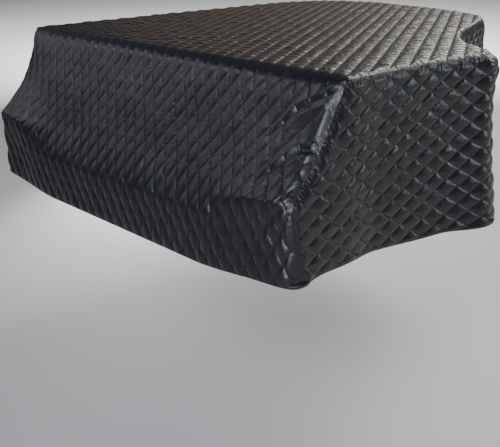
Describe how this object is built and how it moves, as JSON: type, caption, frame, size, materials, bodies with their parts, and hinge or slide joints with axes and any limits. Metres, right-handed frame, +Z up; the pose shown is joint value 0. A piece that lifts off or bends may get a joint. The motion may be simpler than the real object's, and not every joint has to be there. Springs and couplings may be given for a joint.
{
  "type": "grand piano cover",
  "caption": "Fitted quilted satin cover for a baby grand piano: lid-shaped top, sloping keyboard front and a hanging side band with a bound hem, hollow and open below.",
  "frame": {"origin": "on the underside of the top, midway along the keyboard's width and midway between the front of the keyboard and the tail", "axes": "+X along the keyboard to the treble side, +Y from the keyboard to the tail, +Z up"},
  "size_m": [1.5703, 1.643, 0.5181],
  "materials": {
    "quilted_satin": "black satin quilted in diamonds over thin wadding, soft sheen",
    "binding_satin": "plain black satin tape"
  },
  "bodies": {
    "root": {"top_front_panel": "quilted_satin", "treble_panel": "quilted_satin", "tail_panel": "quilted_satin", "bass_panel": "quilted_satin", "hem_binding": "binding_satin"}
  },
  "joints": []
}
